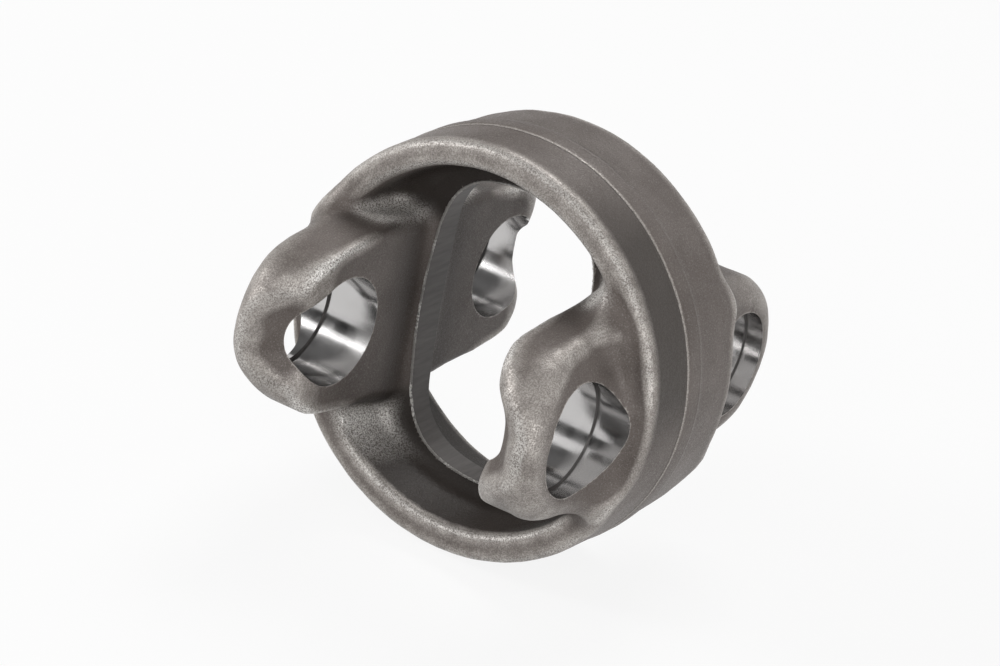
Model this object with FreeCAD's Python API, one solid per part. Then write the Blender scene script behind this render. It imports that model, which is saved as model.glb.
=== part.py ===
import math
import os

import FreeCAD
import Part

# One forged centre yoke of a double cardan joint: a short ring with two ears in
# front of it and two behind it, and four cross bores that are parallel.
# X runs along the bores, Y along the ring's axis with -Y in front, Z is up.
# The origin is the ring's centre. All sizes are in millimetres.

# Cross bores and their retaining ring grooves
bore_diameter = 27.0
bore_plane = 33.6
groove_span = 75.0
groove_width = 1.7
groove_depth = 0.85
bore_chamfer = 0.5

# Ring: drafted outside, rounded rims, and the land left where the flash was trimmed
ring_half_width = 19.1
ring_radius_mid = 51.3
ring_draft = 1.65
rim_outer_round = 3.0
land_height = 0.6
land_half_width = 2.2
land_ramp = 0.8

# Forged pockets in front of the web and behind it
wall_at_web = 9.9
wall_at_rim = 8.0
lip_round = 3.3
junction_round = 2.75
web_round = 2.0

# Punched web between the pockets
web_half = 3.6
opening_half = 21.4
opening_inset = 3.6
opening_corner = 15.0

# Ears
ear_inner = 24.5
ear_thickness = 18.1
nose_radius = 21.0
ear_root_half = 25.3
ear_outer_round = 6.6
ear_inner_round = 1.9
shoulder_radius = 25.0
relief_start = 8.2
relief_angle = 41.0
relief_round = 3.0

ear_outer = ear_inner + ear_thickness
bore_radius = bore_diameter / 2.0
ring_radius_rim = ring_radius_mid - ring_half_width * math.tan(math.radians(ring_draft))
pocket_radius_web = ring_radius_mid - wall_at_web
pocket_radius_rim = ring_radius_rim - wall_at_rim
opening_radius = pocket_radius_web - opening_inset
wide = 3.0 * ring_radius_mid


def vector(x, y, z):
    return FreeCAD.Vector(x, y, z)


def rounded_face(points, radii, place):
    # A closed outline of straight sides, with a tangent arc where a radius is given.
    count = len(points)
    starts = []
    ends = []
    middles = []
    for i in range(count):
        cx, cy = points[i]
        ax, ay = points[i - 1][0] - cx, points[i - 1][1] - cy
        bx, by = points[(i + 1) % count][0] - cx, points[(i + 1) % count][1] - cy
        la, lb = math.hypot(ax, ay), math.hypot(bx, by)
        ax, ay, bx, by = ax / la, ay / la, bx / lb, by / lb
        radius = radii[i]
        half = math.acos(max(-1.0, min(1.0, ax * bx + ay * by))) / 2.0
        reach = radius / math.tan(half)
        away = radius / math.sin(half) - radius
        lm = math.hypot(ax + bx, ay + by)
        starts.append((cx + ax * reach, cy + ay * reach))
        ends.append((cx + bx * reach, cy + by * reach))
        middles.append((cx + (ax + bx) / lm * away, cy + (ay + by) / lm * away))
    edges = []
    for i in range(count):
        if radii[i] > 0:
            arc = Part.Arc(place(*starts[i]), place(*middles[i]), place(*ends[i]))
            edges.append(arc.toShape())
        following = (i + 1) % count
        side = Part.LineSegment(place(*ends[i]), place(*starts[following]))
        edges.append(side.toShape())
    return Part.Face(Part.Wire(edges))


def ring_quarter():
    # The wall on the +X side from the middle plane to one rim, turned about Y.
    foot = land_half_width + land_ramp
    points = [
        (pocket_radius_web, 0.0),
        (pocket_radius_rim, ring_half_width),
        (ring_radius_rim, ring_half_width),
        (ring_radius_mid, foot),
        (ring_radius_mid + land_height, land_half_width),
        (ring_radius_mid + land_height, 0.0),
    ]
    radii = [0, lip_round, rim_outer_round, land_ramp / 2.0, land_ramp / 2.0, 0]
    face = rounded_face(points, radii, lambda r, y: vector(0, y, -r))
    return face.revolve(vector(0, 0, 0), vector(0, 1, 0), -180)


def ear_outline():
    # An ear seen along the bores: sides that taper from the ring to the nose's arc.
    reach = math.hypot(bore_plane, ear_root_half)
    lean = math.atan2(ear_root_half, -bore_plane)
    touch = lean - math.acos(nose_radius / reach)
    ty = bore_plane + nose_radius * math.cos(touch)
    tz = nose_radius * math.sin(touch)
    tip = vector(0, bore_plane + nose_radius, 0)
    foot = vector(0, 0, -ear_root_half)
    head = vector(0, 0, ear_root_half)
    low = vector(0, ty, -tz)
    high = vector(0, ty, tz)
    edges = [
        Part.LineSegment(foot, low).toShape(),
        Part.Arc(low, tip, high).toShape(),
        Part.LineSegment(high, head).toShape(),
        Part.LineSegment(head, foot).toShape(),
    ]
    return Part.Face(Part.Wire(edges))


def ear_plan():
    # The ear seen along Z: a flat inner face, and a flat outer face that turns into
    # a concave shoulder beside the bore and rises to the ring's rim.
    beyond = bore_plane + nose_radius + 5.0
    rise = math.acos(1.0 - (ring_radius_mid - ear_outer) / shoulder_radius)
    end_y = bore_plane - shoulder_radius * math.sin(rise)
    middle = rise / 2.0
    mid_x = ear_outer + shoulder_radius * (1.0 - math.cos(middle))
    mid_y = bore_plane - shoulder_radius * math.sin(middle)
    corners = [
        vector(ear_inner, 0, 0),
        vector(ear_inner, beyond, 0),
        vector(ear_outer, beyond, 0),
        vector(ear_outer, bore_plane, 0),
        vector(ring_radius_mid, end_y, 0),
        vector(ring_radius_mid, 0, 0),
    ]
    edges = [
        Part.LineSegment(corners[0], corners[1]).toShape(),
        Part.LineSegment(corners[1], corners[2]).toShape(),
        Part.LineSegment(corners[2], corners[3]).toShape(),
        Part.Arc(corners[3], vector(mid_x, mid_y, 0), corners[4]).toShape(),
        Part.LineSegment(corners[4], corners[5]).toShape(),
        Part.LineSegment(corners[5], corners[0]).toShape(),
    ]
    return Part.Face(Part.Wire(edges))


def near(value, target):
    return abs(value - target) < 1e-3


def rounded(body, edges, wanted):
    # Rounds the edges by the wanted radius, or by a lesser one where it doesn't fit.
    radius = wanted
    while radius > 0.3:
        try:
            result = body.makeFillet(radius, edges)
            if result.isValid() and len(result.Solids) == 1:
                return result
        except Part.OCCError:
            pass
        radius -= 0.25
    return body


def ear_body():
    side = ear_outline().extrude(vector(wide, 0, 0))
    plan = ear_plan()
    plan.translate(vector(0, 0, -wide / 2.0))
    body = side.common(plan.extrude(vector(0, 0, wide)))
    inner = []
    for edge in body.Edges:
        box = edge.BoundBox
        if near(box.XMax, ear_inner) and box.YMax > 1.0:
            inner.append(edge)
    body = rounded(body, inner, ear_inner_round)
    outer = []
    for edge in body.Edges:
        box = edge.BoundBox
        if near(box.XMin, ear_outer) and box.YLength > 1e-3 and box.YMax > bore_plane - 1e-3:
            outer.append(edge)
    body = rounded(body, outer, ear_outer_round)
    envelope = Part.makeCylinder(ring_radius_rim - 0.15, wide, vector(0, 0, 0), vector(0, 1, 0))
    return body.common(envelope).cut(nose_relief())


def nose_relief():
    # Wedge that bevels the inner side of the nose, so that the bore breaks out in it.
    turn = math.radians(relief_angle)
    start = bore_plane + relief_start
    back = 10.0
    points = [
        vector(ear_inner - back, start - back / math.tan(turn), -wide / 2.0),
        vector(ear_inner + wide * math.sin(turn), start + wide * math.cos(turn), -wide / 2.0),
        vector(ear_inner - back, start + wide * math.cos(turn), -wide / 2.0),
    ]
    wire = Part.makePolygon(points + [points[0]])
    return Part.Face(wire).extrude(vector(0, 0, wide))


def web_quarter():
    # The web's part on the +X side, with the opening left in it.
    disc = Part.makeCylinder(pocket_radius_web + 1.5, web_half, vector(0, 0, 0), vector(0, 1, 0))
    hole = Part.makeCylinder(opening_radius, wide, vector(0, -wide / 2.0, 0), vector(0, 1, 0))
    slot = Part.makeBox(2.0 * opening_half, wide, wide, vector(-opening_half, -wide / 2.0, -wide / 2.0))
    hole = hole.common(slot)
    corners = []
    for edge in hole.Edges:
        box = edge.BoundBox
        if near(box.XLength, 0) and near(box.ZLength, 0) and box.YLength > wide / 2.0:
            corners.append(edge)
    hole = rounded(hole, corners, opening_corner)
    half = Part.makeBox(wide, wide, wide, vector(0, 0, -wide / 2.0))
    return disc.cut(hole).common(half)


def junction_edges(body):
    # Where the upper and lower sides of an ear run into the ring's rim and pocket.
    found = []
    for edge in body.Edges:
        box = edge.BoundBox
        low = min(abs(box.ZMin), abs(box.ZMax))
        high = max(abs(box.ZMin), abs(box.ZMax))
        if box.XMin < ear_inner + ear_inner_round + 0.5 or box.XMax > ring_radius_rim - 2.0:
            continue
        if box.YMax > ring_half_width + 0.01 or near(box.YMax, 0):
            continue
        if box.ZMin * box.ZMax < 0 or high > ear_root_half + 0.01 or low < ear_root_half - 6.0:
            continue
        found.append(edge)
    return found


def web_edges(body):
    # Where the web's face runs into the pocket's wall and into the ears.
    between = (opening_radius + pocket_radius_web) / 2.0
    found = []
    for edge in body.Edges:
        box = edge.BoundBox
        if not (near(box.YMin, web_half) and near(box.YMax, web_half)) or near(box.XMax, 0):
            continue
        middle = edge.valueAt((edge.FirstParameter + edge.LastParameter) / 2.0)
        if box.XMin > ear_inner - 0.5 or math.hypot(middle.x, middle.z) > between:
            found.append(edge)
    return found


def relief_edges(body):
    # The rim of the bevel on the nose.
    turn = math.radians(relief_angle)
    found = []
    for edge in body.Edges:
        count = 0
        for share in (0.0, 0.25, 0.5, 0.75, 1.0):
            point = edge.valueAt(edge.FirstParameter + share * (edge.LastParameter - edge.FirstParameter))
            across = (point.x - ear_inner) * math.cos(turn)
            along = (point.y - bore_plane - relief_start) * math.sin(turn)
            if abs(across - along) < 1e-3:
                count += 1
        if count == 5:
            found.append(edge)
    return found


def bore_cutter(y):
    # Both bores of one pair, with their ring grooves and the small inner chamfers.
    start = -ring_radius_mid - 5.0
    along = vector(1, 0, 0)
    cutter = Part.makeCylinder(bore_radius, -2.0 * start, vector(start, y, 0), along)
    for side in (-1, 1):
        inner_wall = side * groove_span / 2.0
        outer_wall = side * (groove_span / 2.0 + groove_width)
        groove = Part.makeCylinder(
            bore_radius + groove_depth, groove_width, vector(min(inner_wall, outer_wall), y, 0), along
        )
        cutter = cutter.fuse(groove)
    wide_end = bore_radius + bore_chamfer
    inside = ear_inner + bore_chamfer
    core = Part.makeCylinder(wide_end, 2.0 * ear_inner, vector(-ear_inner, y, 0), along)
    right = Part.makeCone(wide_end, bore_radius, bore_chamfer, vector(ear_inner, y, 0), along)
    left = Part.makeCone(bore_radius, wide_end, bore_chamfer, vector(-inside, y, 0), along)
    return cutter.fuse([core, right, left])


quarter = ring_quarter().fuse(ear_body())
quarter = rounded(quarter, junction_edges(quarter), junction_round)
quarter = quarter.fuse(web_quarter())
quarter = rounded(quarter, web_edges(quarter), web_round)
quarter = rounded(quarter, relief_edges(quarter), relief_round)
half = quarter.fuse(quarter.mirror(vector(0, 0, 0), vector(0, 1, 0)))
cage = half.fuse(half.mirror(vector(0, 0, 0), vector(1, 0, 0))).removeSplitter()
for bore_y in (-bore_plane, bore_plane):
    cage = cage.cut(bore_cutter(bore_y))

os.makedirs("parts", exist_ok=True)
cage.exportStep("parts/cage.step")
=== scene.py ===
import math

import bpy
import numpy as np
import openvdb
from mathutils import Matrix, Vector


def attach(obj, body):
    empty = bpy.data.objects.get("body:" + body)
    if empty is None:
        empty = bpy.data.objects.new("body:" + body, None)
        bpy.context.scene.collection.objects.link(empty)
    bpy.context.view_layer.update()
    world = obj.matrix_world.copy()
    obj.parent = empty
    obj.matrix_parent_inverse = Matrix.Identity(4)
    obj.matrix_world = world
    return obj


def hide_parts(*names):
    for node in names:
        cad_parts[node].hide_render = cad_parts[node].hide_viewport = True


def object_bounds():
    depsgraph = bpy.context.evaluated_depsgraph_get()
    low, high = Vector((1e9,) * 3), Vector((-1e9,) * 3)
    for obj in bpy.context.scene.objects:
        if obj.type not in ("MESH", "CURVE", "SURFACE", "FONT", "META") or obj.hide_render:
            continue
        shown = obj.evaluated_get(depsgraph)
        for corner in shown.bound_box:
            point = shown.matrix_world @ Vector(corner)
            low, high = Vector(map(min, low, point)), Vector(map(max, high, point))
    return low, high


# The frame: X along the cross bores, Y along the ring's axis with -Y in front, Z up.
# The forging is built here in millimetres and stored in metres.

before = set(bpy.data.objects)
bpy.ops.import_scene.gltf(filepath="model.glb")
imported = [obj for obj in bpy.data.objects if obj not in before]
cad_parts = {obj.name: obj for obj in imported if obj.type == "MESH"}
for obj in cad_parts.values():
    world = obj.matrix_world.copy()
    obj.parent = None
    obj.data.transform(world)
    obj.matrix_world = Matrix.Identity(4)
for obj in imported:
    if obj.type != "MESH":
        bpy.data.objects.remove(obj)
cad_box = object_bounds()

# Bores and their retaining ring grooves
BORE_Y = 33.6
BORE_R = 13.5
GROOVE_IN = 37.5
GROOVE_OUT = 39.2
GROOVE_R = 14.35
# Ring: half width, outer radius with its draft, and the raised land at its middle
RING_HALF = 19.1
RING_R = 51.3
RING_SLOPE = 0.0288
LAND = 0.28
LAND_MIDDLE = 3.0
RIM_ROUND = 2.4
LIP_ROUND = 1.7
# Pockets, forged a little higher than the bores, and the punched web between them
POCKET_R = 41.3
POCKET_SLOPE = 0.155
POCKET_RISE = 0.4
WEB_HALF = 3.6
WEB_OVERLAP = 2.5
WEB_ROUND = 4.6
OPEN_X = 21.4
OPEN_R = 37.8
OPEN_CORNER = 15.0
OPEN_BULGE = 1.5
# Ears: faces, tapering sides, the ledge in the pocket, nose, shoulder and nose relief
EAR_IN = 24.5
EAR_OUT = 42.8
EAR_ROOT = 25.3
LEDGE_Z = 23.0
LEDGE_RISE = 4.0
NOSE_R = 21.0
SHOULDER_R = 25.0
SHOULDER_REACH = 22.0
RELIEF_START = 6.4
RELIEF_SCALLOP = 4.2
RELIEF_TURN = math.radians(41.0)
RELIEF_ROUND = 3.0
# Radii of the ears' edges and of their corners with the ring, and how they change
FULL_EDGE, FULL_EDGE_DROP = 6.6, 2.8
ROUND_EDGE, ROUND_EDGE_GAIN = 2.2, 3.4
INNER_EDGE, INNER_EDGE_ROOT, INNER_EDGE_NOSE = 1.5, 1.6, 0.6
FULL_FLARE, FULL_FLARE_GAIN, FULL_FLARE_OUTSIDE = 2.2, 2.0, 2.8
ROUND_FLARE, ROUND_FLARE_GAIN, ROUND_FLARE_INSIDE = 2.4, 4.8, 4.4
# Size of the mesh's cells, and the reach of its grid
STEP = 0.85
GRID_HALF_X = 53.5
GRID_HALF_Y = 56.5
BEND_REACH = 1.4


# Shape of the forging as a distance field, negative inside

def grow(value, start, over):
    # 0 up to the start, then rising to 1 over a length
    return np.clip((value - start) / over, 0, 1)


def fade(value, end, over):
    # 1 at first, falling over a length to 0 at the end
    return np.clip((end - value) / over, 0, 1)


def round_cut(a, b, r):
    # What two shapes share, with its outer edge rounded
    inside = np.minimum(np.maximum(a, b), -r)
    return inside + np.hypot(np.maximum(a + r, 0), np.maximum(b + r, 0))


def round_join(a, b, r):
    # Two shapes together, with the inner corner filled
    outside = np.maximum(np.minimum(a, b), r)
    return outside - np.hypot(np.maximum(r - a, 0), np.maximum(r - b, 0))


NOSE_TURN = math.atan2(EAR_ROOT, -BORE_Y) - math.acos(NOSE_R / math.hypot(BORE_Y, EAR_ROOT))


def parts(x, y, z):
    # The ring's outside, its rim with the pockets, the ears, the web, and the ears' flare
    front = y < 0
    # In front, two of the ears' corners are forged round and the other two are full
    rounded = grow(z * np.sign(x), 0.0, 6.0) * front
    from_pocket = np.hypot(x, z - POCKET_RISE)
    upper = z > 0
    x, y, z = np.abs(x), np.abs(y), np.abs(z)
    rho = np.hypot(x, z)
    land = np.where(front, fade(y, 3.9, 0.5), fade(y, 3.0, 1.6))
    outer = rho - (RING_R - RING_SLOPE * (y - LAND_MIDDLE) + LAND * land)
    wall = POCKET_R + POCKET_SLOPE * y - from_pocket
    ring = round_cut(wall, y - RING_HALF, LIP_ROUND)
    web = np.maximum(y - WEB_HALF, rho - POCKET_R - WEB_OVERLAP)
    # The ears' sides run straight from the ring and touch the noses' circles
    along = y - BORE_Y
    straight = z * math.cos(NOSE_TURN) - along * math.sin(NOSE_TURN)
    flank = along * math.cos(NOSE_TURN) + z * math.sin(NOSE_TURN) - NOSE_R
    outline = np.where(straight > 0, flank, np.hypot(along, z) - NOSE_R)
    ledge = z - LEDGE_Z - LEDGE_RISE * rounded - LEDGE_RISE * (1 - upper * front)
    outline = np.maximum(outline, ledge)
    # Their outer faces are flat up to the shoulder, or turned about the ring's axis
    rise = SHOULDER_R - np.sqrt(SHOULDER_R ** 2 - np.clip(-along, 0, SHOULDER_REACH) ** 2)
    outside = x + rounded * (rho - x) - EAR_OUT - rise * (1 - rounded * grow(z, 5.0, 9.0))
    full_edge = FULL_EDGE - FULL_EDGE_DROP * fade(y, 28.0, 8.0)
    round_edge = ROUND_EDGE + ROUND_EDGE_GAIN * grow(y, 36.0, 12.0)
    ear = round_cut(outline, outside, full_edge + rounded * (round_edge - full_edge))
    inner_edge = INNER_EDGE + INNER_EDGE_ROOT * fade(y, 27.0, 11.0)
    inner_edge = inner_edge + INNER_EDGE_NOSE * grow(y, 35.0, 8.0)
    ear = round_cut(ear, EAR_IN - x, inner_edge)
    # The noses' inner relief is scalloped above and below the bore
    scallop = grow(z, 3.0, 10.0)
    start = RELIEF_START + RELIEF_SCALLOP * scallop * scallop * (3 - 2 * scallop)
    relief = (along - start) * math.sin(RELIEF_TURN) - (x - EAR_IN) * math.cos(RELIEF_TURN)
    ear = round_cut(ear, relief, RELIEF_ROUND)
    full_flare = FULL_FLARE_GAIN + FULL_FLARE_OUTSIDE * grow(rho, 43.0, 4.0)
    full_flare = FULL_FLARE + full_flare * grow(z, 13.0, 6.0)
    round_flare = ROUND_FLARE_GAIN + ROUND_FLARE_INSIDE * fade(rho, 48.0, 5.0)
    round_flare = ROUND_FLARE + round_flare * grow(z, 8.0, 14.0)
    flare = full_flare + rounded * (round_flare - full_flare)
    return outer, ring, ear, web, flare


def field(x, y, z):
    outer, ring, ear, web, flare = parts(x, y, z)
    inside = round_join(round_join(ring, ear, flare), web, WEB_ROUND)
    return round_cut(inside, outer, RIM_ROUND)


def at(points):
    return field(points[:, 0], points[:, 1], points[:, 2])


def slope(points, h=0.05):
    found = np.empty_like(points)
    for k in range(3):
        move = np.zeros(3)
        move[k] = h
        found[:, k] = (at(points + move) - at(points - move)) / (2 * h)
    return found


# Seeded noise at points, for the uneven skin

def lattice(points, size, seed):
    count = 64
    grid = np.random.default_rng(seed).uniform(-1, 1, (count, count, count))
    p = points / size + 1000.0
    base = np.floor(p).astype(int)
    part = p - base
    part = part * part * (3 - 2 * part)
    total = np.zeros(len(points))
    for corner in range(8):
        step = np.array([corner & 1, corner >> 1 & 1, corner >> 2 & 1])
        weight = np.prod(np.where(step == 1, part, 1 - part), axis=1)
        index = (base + step) % count
        total += weight * grid[index[:, 0], index[:, 1], index[:, 2]]
    return total


def soften(value, links, times):
    # Averages a value over neighbouring corners of the quads
    for _ in range(times):
        mean = value[links].mean(axis=1)
        total = np.zeros(len(value))
        count = np.zeros(len(value))
        for k in range(4):
            total += np.bincount(links[:, k], mean, len(value))
            count += np.bincount(links[:, k], minlength=len(value))
        value = total / np.maximum(count, 1)
    return value


def surface():
    # The field's surface as quads, with every corner moved onto it
    nx = int(GRID_HALF_X / STEP) + 2
    ny = int(GRID_HALF_Y / STEP) + 2
    ax = np.arange(-nx, nx + 1) * STEP
    ay = np.arange(-ny, ny + 1) * STEP
    x, y, z = np.meshgrid(ax, ay, ax, indexing="ij")
    grid = openvdb.FloatGrid(background=3.0)
    grid.copyFromArray(field(x, y, z).astype(np.float32))
    found, quads = grid.convertToQuads(isovalue=0.0)
    points = np.asarray(found, dtype=float) * STEP - np.array([nx, ny, nx]) * STEP
    for _ in range(3):
        g = slope(points)
        points -= (at(points) / np.maximum((g * g).sum(1), 0.2))[:, None] * g
    g = slope(points)
    return points, np.asarray(quads), g / np.linalg.norm(g, axis=1)[:, None]


def bend_of(points, links):
    # Mean bend over about a millimetre and a half, outwards positive, where wear shows
    bend = np.zeros(len(points))
    for k in range(3):
        move = np.zeros(3)
        move[k] = BEND_REACH
        bend += at(points + move) + at(points - move) - 2 * at(points)
    bend /= BEND_REACH ** 2
    rho = np.hypot(points[:, 0], points[:, 2])
    depth = np.abs(points[:, 1])
    bend[(depth < 6.5) & (rho > 50)] *= 0.25
    bend = soften(bend, links, 4)
    # The opening's edge and the ears' roots stay dull, and the noses are worn most
    bend *= 1 - 0.85 * (fade(depth, 30.0, 8.0) * (rho < 40))
    bend += 0.05 * grow(depth, 37.0, 7.0)
    return bend


def painted_shade_and_light(points, normal, links):
    # Painted shade darkens recesses, the pockets and the ears' down-facing sides near the ring,
    # and painted light brightens the pockets' flared corners and up-facing faces beside the ring
    # as blasted metal
    _, ring, _, web, _ = parts(points[:, 0], points[:, 1], points[:, 2])
    rho = np.hypot(points[:, 0], points[:, 2])
    height = np.abs(points[:, 2])
    depth = np.abs(points[:, 1])
    low = points[:, 2] < 0
    # How closed in each point is, for the painted shade in recesses
    covered = np.zeros(len(points))
    for reach, weight in ((5.0, 0.2), (10.0, 0.3), (18.0, 0.3), (30.0, 0.2)):
        gap = at(points + normal * reach) / reach
        covered += weight * np.clip(1 - gap, 0, 1)
    rounded = (points[:, 0] * points[:, 2] > 0) & (points[:, 1] < 0)
    # Painted light: on the rounded corners the pockets' flared corners, elsewhere the faces turned
    # up beside the ring, are painted as bright blasted metal
    upward = grow(normal[:, 2] * np.sign(points[:, 2]), 0.4, 0.3) * fade(ring, 9.0, 1.0)
    facing_down = grow(-normal[:, 2], 0.15, 0.25) * low
    flared = fade(height, 38.5, 7.0) * fade(ring, 8.0, 2.0) * (1 - facing_down)
    flared = np.where(low, flared * grow(height, 23.0, 2.5), flared)
    painted_light = np.where(rounded, flared, upward) * grow(web, 1.0, 2.0)
    painted_light *= fade(depth, 20.0, 2.0) * fade(rho, 45.0, 1.5) * grow(height, 19.0, 3.0)
    # Painted shade in the pockets and under the ears' down-facing sides near the ring
    pocket = fade(rho, 44.4, 1.0) * fade(depth, 18.8, 1.5) * grow(height, 20.0, 4.0)
    under = facing_down * fade(rho, 43.0, 2.0) * fade(depth, 28.0, 8.0)
    painted_shade = 0.5 * grow(covered, 0.12, 0.3) * fade(rho, 44.5, 2.0)
    painted_shade = np.maximum(np.maximum(0.9 * pocket, 0.8 * under), painted_shade)
    return soften(painted_shade, links, 2), soften(painted_light, links, 5)


def painted_front_shade(points):
    # Painted shade: above the right ear the front half of the outside is painted darker
    rho = np.hypot(points[:, 0], points[:, 2])
    scale = grow(-points[:, 1], 3.8, 0.6) * grow(points[:, 1], -17.5, 2.5)
    scale *= grow(rho, 49.0, 1.0) * grow(points[:, 0], 18.0, 16.0)
    return scale * grow(points[:, 2], -10.0, 16.0)


def hammered(points):
    # Uneven hammered skin: long waves, then short ones, and rougher noses
    wave = np.zeros(len(points))
    for height, size, seed in ((0.10, 13.0, 3), (0.07, 5.5, 4), (0.035, 2.3, 5)):
        wave += height * lattice(points, size, seed)
    nose = grow(np.abs(points[:, 1]), 30.0, 12.0)
    return wave + nose * 0.10 * lattice(points, 4.2, 6)


def skin_mesh():
    points, quads, normal = surface()
    links = quads.astype(int)
    painted_shade, painted_light = painted_shade_and_light(points, normal, links)
    values = (("bend", bend_of(points, links)), ("painted_shade", painted_shade), ("painted_light", painted_light),
              ("scale", painted_front_shade(points)))
    points += normal * (hammered(points) - 0.05)[:, None]
    low = np.array(cad_box[0]) * 1000 + 0.02
    high = np.array(cad_box[1]) * 1000 - 0.02
    points = np.clip(points, low, high)
    mesh = bpy.data.meshes.new("forging")
    mesh.from_pydata((points / 1000).tolist(), [], quads.tolist())
    for name, value in values:
        stored = mesh.attributes.new(name, "FLOAT", "POINT")
        stored.data.foreach_set("value", value.astype(np.float32))
    mesh.update()
    return mesh


def turned_tool(name, profile, y, segments=192):
    # A closed body turned about the bore's axis, from (x, radius) pairs
    verts = []
    faces = []
    for x, r in profile:
        for i in range(segments):
            a = 2 * math.pi * i / segments
            verts.append((x / 1000, (y + r * math.cos(a)) / 1000, r * math.sin(a) / 1000))
    for k in range(len(profile) - 1):
        for i in range(segments):
            j = (i + 1) % segments
            a, b = k * segments, (k + 1) * segments
            faces.append((a + i, a + j, b + j, b + i))
    grooved_faces = []
    for k in range(len(profile) - 1):
        deep = profile[k][1] != profile[k + 1][1]
        grooved_faces += [1 if deep else 0] * segments
    faces.append(tuple(reversed(range(segments))))
    last = (len(profile) - 1) * segments
    faces.append(tuple(last + i for i in range(segments)))
    mesh = bpy.data.meshes.new(name)
    mesh.from_pydata(verts, [], faces)
    mesh.update()
    mesh.materials.append(bore_material)
    mesh.materials.append(groove_material)
    mesh.polygons.foreach_set("material_index", grooved_faces + [0, 0])
    return bpy.data.objects.new(name, mesh)


def opening_outline(count=40):
    # The punched opening seen along Y, as a closed list of (x, z)
    cx = OPEN_X - OPEN_CORNER
    cz = math.sqrt((OPEN_R - OPEN_CORNER) ** 2 - cx ** 2)
    lean = math.atan2(cz, cx)
    quarter = [(OPEN_X, cz * i / 12) for i in range(12)]
    for i in range(count + 1):
        a = lean * i / count
        quarter.append((cx + OPEN_CORNER * math.cos(a), cz + OPEN_CORNER * math.sin(a)))
    for i in range(1, count // 2 + 1):
        a = lean + (math.pi / 2 - lean) * i / (count // 2)
        quarter.append((OPEN_R * math.cos(a), OPEN_R * math.sin(a)))
    quarter = [(x + OPEN_BULGE * max(0, 1 - (z / 25) ** 2), z) for x, z in quarter]
    upper = quarter + [(-x, z) for x, z in reversed(quarter[:-1])]
    return upper + [(x, -z) for x, z in reversed(upper[1:-1])]


def opening_tool():
    line = opening_outline()
    count = len(line)
    verts = [(x / 1000, -0.012, z / 1000) for x, z in line]
    verts += [(x / 1000, 0.012, z / 1000) for x, z in line]
    faces = [tuple(range(count)), tuple(count + i for i in reversed(range(count)))]
    for i in range(count):
        j = (i + 1) % count
        faces.append((i, count + i, count + j, j))
    mesh = bpy.data.meshes.new("punch")
    mesh.from_pydata(verts, [], faces)
    mesh.update()
    mesh.materials.append(punch_material)
    return bpy.data.objects.new("punch", mesh)


# Materials, with colours as linear values and lengths in metres

SKIN_DARK = (0.120, 0.100, 0.089)
SKIN_LIGHT = (0.168, 0.144, 0.131)
GLINT = (0.50, 0.48, 0.46)
PIT = (0.03, 0.026, 0.024)
FRONT_SHADE_DARK = (0.050, 0.042, 0.037)
FRONT_SHADE_LIGHT = (0.085, 0.074, 0.066)
RECESS_SHADE = (0.022, 0.017, 0.014)
CREASE_SHADE = (0.02, 0.017, 0.015)
WEAR_AND_SHEEN = (0.65, 0.61, 0.57)
BRIGHT = (0.86, 0.84, 0.81)
BORE = (0.54, 0.53, 0.525)
GROOVE_SHADE_DARK = (0.03, 0.027, 0.025)
GROOVE_SHADE_LIGHT = (0.11, 0.10, 0.095)
PUNCHED_SHADE_DARK = (0.062, 0.055, 0.051)
PUNCHED_SHADE_LIGHT = (0.098, 0.089, 0.084)
BURR_DARK = (0.20, 0.19, 0.18)
BURR_LIGHT = (0.78, 0.76, 0.73)
BURR_DULL = (0.30, 0.285, 0.27)
# Lines round the ring: the die's crease with its painted shade, the painted highlight on its
# step's lip, and the trimmed flash
CREASE_Y = -0.00405
LIP_Y = -0.00365
FLASH_Y = 0.00176


def material(name, colour, rough, metallic):
    made = bpy.data.materials.new(name)
    made.use_nodes = True
    tree = made.node_tree
    shader = tree.nodes["Principled BSDF"]
    shader.inputs["Base Color"].default_value = (*colour, 1)
    shader.inputs["Roughness"].default_value = rough
    shader.inputs["Metallic"].default_value = metallic
    return made, tree, shader


def noise(tree, coords, scale, detail, rough=0.55):
    made = tree.nodes.new("ShaderNodeTexNoise")
    made.inputs["Scale"].default_value = scale
    made.inputs["Detail"].default_value = detail
    made.inputs["Roughness"].default_value = rough
    tree.links.new(coords, made.inputs["Vector"])
    return made.outputs["Fac"]


def math_node(tree, operation, a, b=None, clamp=False):
    made = tree.nodes.new("ShaderNodeMath")
    made.operation = operation
    made.use_clamp = clamp
    for slot, value in enumerate((a, b)):
        if value is None:
            continue
        if isinstance(value, (int, float)):
            made.inputs[slot].default_value = value
        else:
            tree.links.new(value, made.inputs[slot])
    return made.outputs[0]


def span(tree, value, low, high, to_low=0.0, to_high=1.0):
    made = tree.nodes.new("ShaderNodeMapRange")
    made.inputs["From Min"].default_value = low
    made.inputs["From Max"].default_value = high
    made.inputs["To Min"].default_value = to_low
    made.inputs["To Max"].default_value = to_high
    tree.links.new(value, made.inputs["Value"])
    return made.outputs["Result"]


def mix(tree, fac, a, b):
    made = tree.nodes.new("ShaderNodeMix")
    made.data_type = "RGBA"
    tree.links.new(fac, made.inputs["Factor"])
    for socket, value in ((6, a), (7, b)):
        if isinstance(value, tuple):
            made.inputs[socket].default_value = (*value, 1)
        else:
            tree.links.new(value, made.inputs[socket])
    return made.outputs[2]


def bump(tree, height, strength, distance, after=None):
    made = tree.nodes.new("ShaderNodeBump")
    made.inputs["Strength"].default_value = strength
    made.inputs["Distance"].default_value = distance
    tree.links.new(height, made.inputs["Height"])
    if after is not None:
        tree.links.new(after, made.inputs["Normal"])
    return made.outputs["Normal"]


def attribute(tree, name):
    made = tree.nodes.new("ShaderNodeAttribute")
    made.attribute_name = name
    return made.outputs["Fac"]


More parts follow.
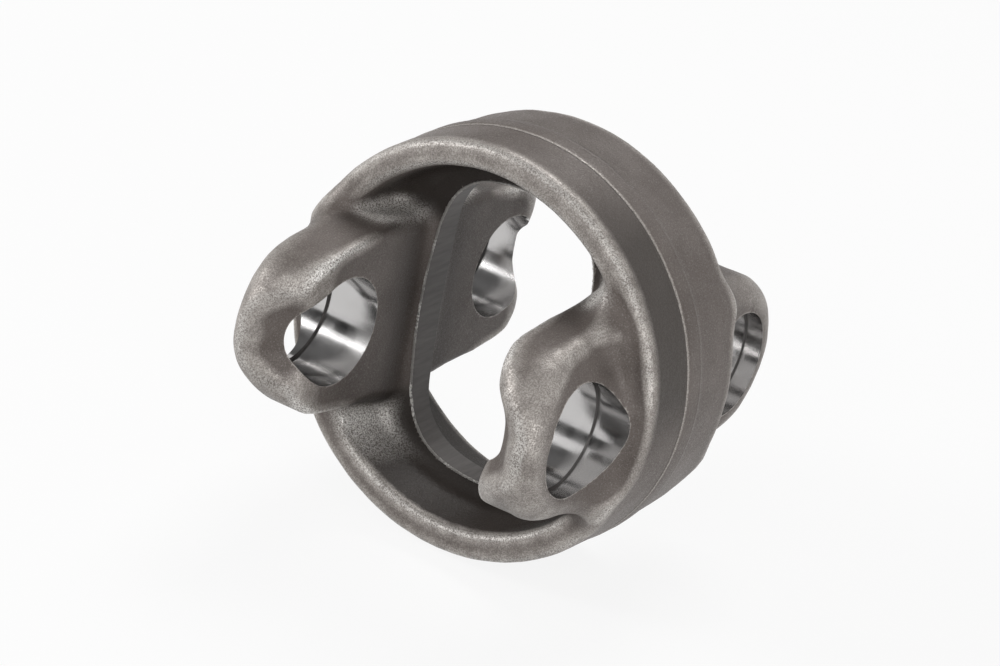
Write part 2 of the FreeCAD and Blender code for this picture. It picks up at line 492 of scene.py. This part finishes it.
def tool_marks_group():
    # The fine marks a tool leaves along its path, in the bores, their grooves and the punched wall
    group = bpy.data.node_groups.new("tool_marks", "ShaderNodeTree")
    group.interface.new_socket("Stretch", in_out="INPUT", socket_type="NodeSocketVector")
    group.interface.new_socket("Detail", in_out="INPUT", socket_type="NodeSocketFloat")
    group.interface.new_socket("Marks", in_out="OUTPUT", socket_type="NodeSocketFloat")
    entry = group.nodes.new("NodeGroupInput")
    leave = group.nodes.new("NodeGroupOutput")
    coords = group.nodes.new("ShaderNodeTexCoord").outputs["Object"]
    stretched = group.nodes.new("ShaderNodeVectorMath")
    stretched.operation = "MULTIPLY"
    group.links.new(coords, stretched.inputs[0])
    group.links.new(entry.outputs["Stretch"], stretched.inputs[1])
    marks = group.nodes.new("ShaderNodeTexNoise")
    marks.inputs["Scale"].default_value = 1.0
    marks.inputs["Roughness"].default_value = 0.55
    group.links.new(entry.outputs["Detail"], marks.inputs["Detail"])
    group.links.new(stretched.outputs["Vector"], marks.inputs["Vector"])
    group.links.new(marks.outputs["Fac"], leave.inputs["Marks"])
    return group


def tool_marks(tree, stretch, detail):
    placed = tree.nodes.new("ShaderNodeGroup")
    placed.node_tree = marks_group
    placed.inputs["Stretch"].default_value = stretch
    placed.inputs["Detail"].default_value = detail
    return placed.outputs["Marks"]


def outside_of_ring(tree, place):
    # 1 on the ring's outer surface, from the distance to its axis
    across = math_node(tree, "POWER", place.outputs["X"], 2.0)
    up = math_node(tree, "POWER", place.outputs["Z"], 2.0)
    rho = math_node(tree, "SQRT", math_node(tree, "ADD", across, up))
    return span(tree, rho, 0.0495, 0.0502)


def line_round(tree, along, line_y, outer_edge, inner_edge, ring):
    # A line round the ring at one place along its axis, with soft edges
    away = math_node(tree, "ABSOLUTE", math_node(tree, "SUBTRACT", along, line_y))
    return math_node(tree, "MULTIPLY", span(tree, away, outer_edge, inner_edge), ring)


def forged():
    made, tree, shader = material("forged_skin", SKIN_DARK, 0.5, 0.2)
    coords = tree.nodes.new("ShaderNodeTexCoord").outputs["Object"]
    bend = attribute(tree, "bend")
    painted_shade = attribute(tree, "painted_shade")
    painted_light = attribute(tree, "painted_light")
    edge = attribute(tree, "edge")
    blotch = noise(tree, coords, scale=60.0, detail=3.0)
    patch = noise(tree, coords, scale=220.0, detail=4.0, rough=0.6)
    speck = noise(tree, coords, scale=2800.0, detail=2.0, rough=0.7)
    grain = noise(tree, coords, scale=4500.0, detail=1.0, rough=0.6)
    pits = noise(tree, coords, scale=800.0, detail=3.0, rough=0.6)
    place = tree.nodes.new("ShaderNodeSeparateXYZ")
    tree.links.new(coords, place.inputs[0])
    ring = outside_of_ring(tree, place)
    waver = span(tree, pits, 0.0, 1.0, -0.0002, 0.0002)
    along = math_node(tree, "ADD", place.outputs["Y"], waver)
    # The die line's step in front, and the rough trimmed flash behind it
    step = math_node(tree, "MULTIPLY", span(tree, along, -0.00410, -0.00370), ring)
    # The crease's dark line is painted shade along the step
    crease = line_round(tree, along, CREASE_Y, 0.00035, 0.0001, ring)
    flash = line_round(tree, along, FLASH_Y, 0.0008, 0.0002, ring)
    # A painted highlight along the step's lip
    lip = math_node(tree, "MULTIPLY", line_round(tree, along, LIP_Y, 0.0005, 0.0001, ring), 0.85)
    # Wear on crests, painted light on the blasted corners and up-facing ledges, a painted
    # highlight on the step's lip, and cut edges partly bright metal, partly painted highlight
    crest_wear_and_sheen = span(tree, bend, 0.06, 0.26)
    crest_wear_and_sheen = math_node(tree, "MULTIPLY", crest_wear_and_sheen, span(tree, patch, 0.3, 0.6, 0.4, 1.0))
    crest_wear_and_sheen = math_node(tree, "MAXIMUM", crest_wear_and_sheen, painted_light)
    crest_wear_and_sheen = math_node(tree, "MAXIMUM", crest_wear_and_sheen, span(tree, edge, 0.3, 0.9, 0.0, 0.9))
    crest_wear_and_sheen = math_node(tree, "MAXIMUM", crest_wear_and_sheen, lip)
    wear_and_sheen = math_node(tree, "MULTIPLY", crest_wear_and_sheen, span(tree, speck, 0.38, 0.62, 0.42, 1.0))
    # The sharpest crests get bright worn metal, and the painted light gets the same bright colour
    bright = math_node(tree, "MAXIMUM", span(tree, bend, 0.31, 0.56), painted_light)
    bright = math_node(tree, "MULTIPLY", bright, span(tree, speck, 0.41, 0.58))
    # Painted shade in recesses, pockets and under the ears, less where painted light brightens
    net_painted_shade = math_node(tree, "SUBTRACT", painted_shade, painted_light, True)
    colour = mix(tree, span(tree, blotch, 0.35, 0.65), SKIN_DARK, SKIN_LIGHT)
    colour = mix(tree, span(tree, speck, 0.56, 0.74, 0.0, 0.30), colour, GLINT)
    colour = mix(tree, span(tree, speck, 0.47, 0.33, 0.0, 0.25), colour, PIT)
    # Painted shade on the outside's front half above the right ear
    front_shade = mix(tree, speck, FRONT_SHADE_DARK, FRONT_SHADE_LIGHT)
    colour = mix(tree, attribute(tree, "scale"), colour, front_shade)
    colour = mix(tree, net_painted_shade, colour, RECESS_SHADE)
    colour = mix(tree, math_node(tree, "MULTIPLY", crease, 0.6), colour, CREASE_SHADE)
    colour = mix(tree, math_node(tree, "MULTIPLY", wear_and_sheen, 0.72), colour, WEAR_AND_SHEEN)
    colour = mix(tree, bright, colour, BRIGHT)
    tree.links.new(colour, shader.inputs["Base Color"])
    tree.links.new(span(tree, wear_and_sheen, 0.0, 1.0, 0.10, 0.45), shader.inputs["Metallic"])
    tree.links.new(span(tree, speck, 0.35, 0.7, 0.56, 0.34), shader.inputs["Roughness"])
    shader.inputs["Specular IOR Level"].default_value = 0.28
    normal = bump(tree, step, 1.0, 0.00035)
    rough_flash = math_node(tree, "MULTIPLY", flash, span(tree, patch, 0.3, 0.7, 0.3, 1.0))
    normal = bump(tree, rough_flash, 0.8, 0.00025, normal)
    normal = bump(tree, pits, 0.45, 0.00022, normal)
    normal = bump(tree, speck, 0.60, 0.00012, normal)
    normal = bump(tree, grain, 0.35, 0.00004, normal)
    tree.links.new(normal, shader.inputs["Normal"])
    return made


def machined():
    made, tree, shader = material("machined_bore", BORE, 0.16, 1.0)
    coords = tree.nodes.new("ShaderNodeTexCoord").outputs["Object"]
    rings = tool_marks(tree, (9000.0, 60.0, 60.0), 2.0)
    broad = noise(tree, coords, scale=160.0, detail=2.0)
    rough = span(tree, broad, 0.35, 0.65, 0.13, 0.22)
    tree.links.new(rough, shader.inputs["Roughness"])
    tree.links.new(bump(tree, rings, 0.25, 0.00002), shader.inputs["Normal"])
    return made


def grooved():
    # The groove's walls are painted dark, painted shade in the recess, with the tool's marks
    made, tree, shader = material("groove_wall", GROOVE_SHADE_DARK, 0.35, 0.6)
    lines = tool_marks(tree, (900.0, 900.0, 900.0), 2.0)
    tree.links.new(mix(tree, lines, GROOVE_SHADE_DARK, GROOVE_SHADE_LIGHT), shader.inputs["Base Color"])
    return made


def punched():
    # The punched wall is painted dark, painted shade inside the opening
    made, tree, shader = material("punched_web", PUNCHED_SHADE_DARK, 0.5, 0.25)
    lines = tool_marks(tree, (900.0, 120.0, 900.0), 3.0)
    colour = mix(tree, span(tree, lines, 0.3, 0.7), PUNCHED_SHADE_DARK, PUNCHED_SHADE_LIGHT)
    tree.links.new(colour, shader.inputs["Base Color"])
    tree.links.new(bump(tree, lines, 0.3, 0.00008), shader.inputs["Normal"])
    return made


def burred():
    made, tree, shader = material("burr_metal", BURR_DULL, 0.5, 0.35)
    coords = tree.nodes.new("ShaderNodeTexCoord").outputs["Object"]
    rough = noise(tree, coords, scale=1500.0, detail=2.0)
    long = noise(tree, coords, scale=90.0, detail=2.0)
    colour = mix(tree, span(tree, rough, 0.4, 0.6), BURR_DARK, BURR_LIGHT)
    colour = mix(tree, span(tree, long, 0.45, 0.6), colour, BURR_DULL)
    tree.links.new(colour, shader.inputs["Base Color"])
    return made


marks_group = tool_marks_group()
skin_material = forged()
bore_material = machined()
groove_material = grooved()
punch_material = punched()


# The forging, bored and punched

mesh = skin_mesh()
cage = bpy.data.objects.new("cage_forging", mesh)
bpy.context.scene.collection.objects.link(cage)
mesh.materials.append(skin_material)
mesh.materials.append(bore_material)
mesh.materials.append(punch_material)
mesh.materials.append(groove_material)

BORE_PROFILE = [
    (-60.0, BORE_R), (-GROOVE_OUT, BORE_R), (-GROOVE_OUT, GROOVE_R), (-GROOVE_IN, GROOVE_R),
    (-GROOVE_IN, BORE_R), (GROOVE_IN, BORE_R), (GROOVE_IN, GROOVE_R), (GROOVE_OUT, GROOVE_R),
    (GROOVE_OUT, BORE_R), (60.0, BORE_R),
]
tools = [
    turned_tool("front_boring", BORE_PROFILE, -BORE_Y),
    turned_tool("rear_boring", BORE_PROFILE, BORE_Y),
    opening_tool(),
]
for tool in tools:
    bpy.context.scene.collection.objects.link(tool)
    cut = cage.modifiers.new(tool.name, "BOOLEAN")
    cut.operation = "DIFFERENCE"
    cut.solver = "MANIFOLD"
    cut.material_mode = "TRANSFER"
    cut.object = tool
depsgraph = bpy.context.evaluated_depsgraph_get()
done = bpy.data.meshes.new_from_object(cage.evaluated_get(depsgraph))
cage.modifiers.clear()
cage.data = done
for tool in tools:
    bpy.data.objects.remove(tool)
# Corners that the skin shares with a machined or punched face, painted bright: partly bright cut
# metal, partly painted highlight standing in for a small bevel
skin_corner = np.zeros(len(done.vertices), bool)
cut_corner = np.zeros(len(done.vertices), bool)
for face in done.polygons:
    kind = cut_corner if face.material_index else skin_corner
    kind[list(face.vertices)] = True
edge = done.attributes.new("edge", "FLOAT", "POINT")
edge.data.foreach_set("value", (skin_corner & cut_corner).astype(np.float32))
done.set_sharp_from_angle(angle=math.radians(38))


BURR_STEPS = 720
BURR_SIDES = 6
BURR_THICK, BURR_THICK_MORE = 0.26, 0.14
BURR_LIFT = 0.10
BURR_SUNK = 0.05


def burr():
    # The rough line that the punch left round the opening's front edge
    rng = np.random.default_rng(11)
    line = np.array(opening_outline())
    step = np.roll(line, -1, axis=0) - line
    reach = np.concatenate([[0.0], np.cumsum(np.hypot(step[:, 0], step[:, 1]))])
    closed = np.vstack([line, line[:1]])
    count = BURR_STEPS
    ask = np.arange(count) * reach[-1] / count
    x = np.interp(ask, reach, closed[:, 0])
    z = np.interp(ask, reach, closed[:, 1])
    tx = np.roll(x, -1) - np.roll(x, 1)
    tz = np.roll(z, -1) - np.roll(z, 1)
    length = np.hypot(tx, tz)
    nx, nz = tz / length, -tx / length
    # The web's front at each step, found where the field first turns solid
    depths = np.linspace(-8.0, -3.0, 126)
    solid = field(x[:, None], depths[None, :], z[:, None]) < 0
    front = depths[np.argmax(solid, axis=1)]
    thick = BURR_THICK + BURR_THICK_MORE * rng.random(count)
    lift = BURR_LIFT * rng.random(count)
    verts = []
    faces = []
    sides = BURR_SIDES
    for i in range(count):
        for k in range(sides):
            turn = 2 * math.pi * k / sides
            out = thick[i] * math.cos(turn)
            up = front[i] + BURR_SUNK - lift[i] - thick[i] * math.sin(turn)
            verts.append(((x[i] + nx[i] * out) / 1000, up / 1000, (z[i] + nz[i] * out) / 1000))
    for i in range(count):
        j = (i + 1) % count
        for k in range(sides):
            m = (k + 1) % sides
            faces.append((i * sides + k, j * sides + k, j * sides + m, i * sides + m))
    made = bpy.data.meshes.new("punch_burr")
    made.from_pydata(verts, [], faces)
    made.update()
    found = bpy.data.objects.new("punch_burr", made)
    bpy.context.scene.collection.objects.link(found)
    made.materials.append(burred())
    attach(found, "root")


burr()
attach(cage, "root")
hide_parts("cage")


# Studio: pale floor, soft light and the camera, in metres

def plane(name, half, height):
    made = bpy.data.meshes.new(name)
    corners = ((-half, -half), (half, -half), (half, half), (-half, half))
    made.from_pydata([(x, y, height) for x, y in corners], [], [(0, 1, 2, 3)])
    made.update()
    found = bpy.data.objects.new(name, made)
    bpy.context.scene.collection.objects.link(found)
    return found


FLOOR_GAP = 0.0002
FLOOR_LIT = (0.45, 0.45, 0.45)
FLOOR_SEEN = (0.9, 0.9, 0.9)
FLOOR_GLOW_SHARE = 0.88
SOFT_LIGHT = 0.20

# The floor lights the object plainly, and only what looks at it sees it white
floor = plane("floor", 30.0, cad_box[0][2] - FLOOR_GAP)
floor_material, tree, shader = material("floor_white", FLOOR_LIT, 0.9, 0.0)
path = tree.nodes.new("ShaderNodeLightPath")
glow = tree.nodes.new("ShaderNodeEmission")
glow.inputs["Color"].default_value = (1, 1, 1, 1)
glow.inputs["Strength"].default_value = 1.0
seen = math_node(tree, "MAXIMUM", path.outputs["Is Camera Ray"], path.outputs["Is Glossy Ray"])
tree.links.new(mix(tree, seen, FLOOR_LIT, FLOOR_SEEN), shader.inputs["Base Color"])
share = math_node(tree, "MULTIPLY", seen, FLOOR_GLOW_SHARE)
blend = tree.nodes.new("ShaderNodeMixShader")
tree.links.new(share, blend.inputs["Fac"])
tree.links.new(shader.outputs["BSDF"], blend.inputs[1])
tree.links.new(glow.outputs["Emission"], blend.inputs[2])
tree.links.new(blend.outputs["Shader"], tree.nodes["Material Output"].inputs["Surface"])
floor.data.materials.append(floor_material)


CARD_X = -0.46
CARD_OUT = 0.888
CARD_AWAY = 1.3


def card(name, turn, wide, level):
    # A card that only reflections see, where the bores look past the cage's left side
    turn = math.radians(turn)
    way = Vector((CARD_X, CARD_OUT * math.cos(turn), CARD_OUT * math.sin(turn)))
    made = plane(name, 0.5, 0.0)
    made.scale = (1.6, wide, 1.0)
    made.location = way * CARD_AWAY
    sideways = Vector((1, 0, 0)) - way * way.x
    facing = Matrix((sideways.normalized(), way.cross(sideways).normalized(), way)).transposed()
    made.rotation_euler = facing.to_euler()
    shade, tree, shader = material(name + "_black", (level, level, level), 1.0, 0.0)
    made.data.materials.append(shade)
    for ray in ("camera", "diffuse", "transmission", "volume_scatter", "shadow"):
        setattr(made, "visible_" + ray, False)


card("card_front", 161.0, 0.50, 0.02)
card("card_up", 96.0, 1.50, 0.30)
card("card_back", 30.0, 0.62, 0.02)

# White where it is looked at, and soft where it lights the object
world = bpy.data.worlds.new("studio")
bpy.context.scene.world = world
world.use_nodes = True
tree = world.node_tree
tree.nodes.clear()
path = tree.nodes.new("ShaderNodeLightPath")
white = tree.nodes.new("ShaderNodeBackground")
white.inputs["Strength"].default_value = 1.0
white.inputs["Color"].default_value = (1, 1, 1, 1)
soft = tree.nodes.new("ShaderNodeBackground")
soft.inputs["Strength"].default_value = SOFT_LIGHT
soft.inputs["Color"].default_value = (1, 1, 1, 1)
blend = tree.nodes.new("ShaderNodeMixShader")
out = tree.nodes.new("ShaderNodeOutputWorld")
seen = math_node(tree, "MAXIMUM", path.outputs["Is Camera Ray"], path.outputs["Is Glossy Ray"])
seen = math_node(tree, "MAXIMUM", seen, path.outputs["Is Transmission Ray"])
tree.links.new(seen, blend.inputs["Fac"])
tree.links.new(soft.outputs["Background"], blend.inputs[1])
tree.links.new(white.outputs["Background"], blend.inputs[2])
tree.links.new(blend.outputs["Shader"], out.inputs["Surface"])


def lamp(name, place, size, power):
    # A soft box that points at the cage, with its power in watts
    made = bpy.data.lights.new(name, "AREA")
    made.shape = "RECTANGLE"
    made.size, made.size_y = size
    made.energy = power
    found = bpy.data.objects.new(name, made)
    found.location = place
    aim = Vector((0, 0, 0)) - Vector(place)
    found.rotation_euler = aim.to_track_quat("-Z", "Y").to_euler()
    bpy.context.scene.collection.objects.link(found)
    return found


lamp("key", (-0.85, -0.62, 0.50), (0.4, 0.4), 6.8)
lamp("right", (1.0, -0.50, 0.22), (0.4, 0.3), 2.6)
lamp("low", (1.0, -0.15, -0.01), (0.5, 0.06), 1.3)
lamp("top", (-0.15, 0.60, 1.0), (0.5, 0.5), 5.9)
lamp("front", (0.25, -1.0, 0.55), (0.3, 0.3), 1.7)

# The camera fitted to the bores, grooves and outline: its place, and its right, down and ahead
CAMERA_AT = (0.320513, -0.553616, 0.279162)
CAMERA_AXES = (
    (0.809754, 0.56036, 0.174053),
    (0.36187, -0.24341, -0.89989),
    (-0.461896, 0.791674, -0.39988),
)
FOCAL_PX = 2955.0
IMAGE_WIDTH = 1000.0
SENSOR_MM = 36.0
eye = bpy.data.cameras.new("camera")
eye.sensor_width = SENSOR_MM
eye.lens = FOCAL_PX / IMAGE_WIDTH * SENSOR_MM
eye.clip_start = 0.01
eye.clip_end = 100.0
camera = bpy.data.objects.new("camera", eye)
right, down, ahead = (Vector(v) for v in CAMERA_AXES)
turn = Matrix((right, -down, -ahead)).transposed()
camera.matrix_world = Matrix.Translation(CAMERA_AT) @ turn.to_4x4()
bpy.context.scene.collection.objects.link(camera)
bpy.context.scene.camera = camera
bpy.context.scene.view_settings.view_transform = "Standard"
